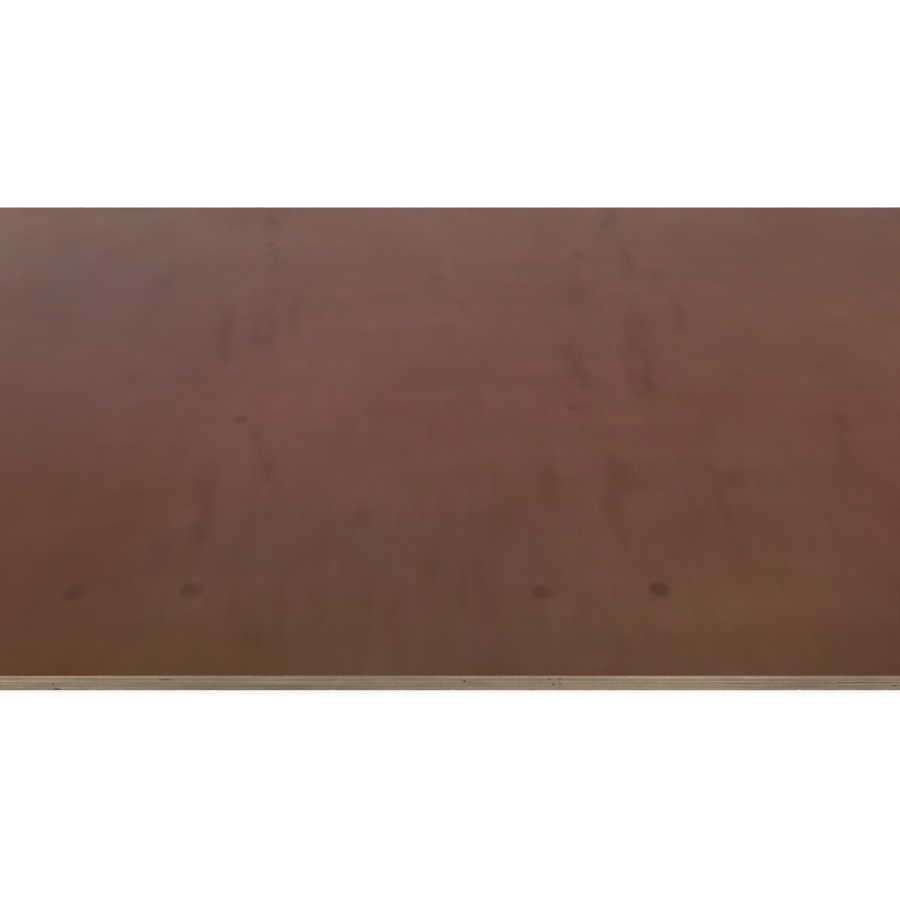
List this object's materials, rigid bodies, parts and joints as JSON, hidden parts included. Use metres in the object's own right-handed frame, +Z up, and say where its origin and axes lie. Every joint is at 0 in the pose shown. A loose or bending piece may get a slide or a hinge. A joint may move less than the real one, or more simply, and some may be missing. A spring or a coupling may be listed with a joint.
{
  "type": "film-faced plywood sheet",
  "caption": "Flat rectangular plywood sheet of crossed wood veneers with a brown phenolic film on both faces and raw sawn edges, for formwork, floors and panels.",
  "frame": {"origin": "middle of the underside, where the sheet rests on the floor", "axes": "+X along the long side, +Y along the short side, +Z up through the thickness"},
  "size_m": [2.5, 1.25, 0.018],
  "materials": {
    "phenolic_film": "satin",
    "outer_grain_veneer": "matte",
    "inner_grain_veneer": "matte"
  },
  "bodies": {
    "root": {"back_film": "phenolic_film", "veneer_1": "outer_grain_veneer", "veneer_2": "inner_grain_veneer", "veneer_3": "outer_grain_veneer", "veneer_4": "inner_grain_veneer", "veneer_5": "outer_grain_veneer", "veneer_6": "inner_grain_veneer", "veneer_7": "outer_grain_veneer", "face_film": "phenolic_film"}
  },
  "joints": []
}
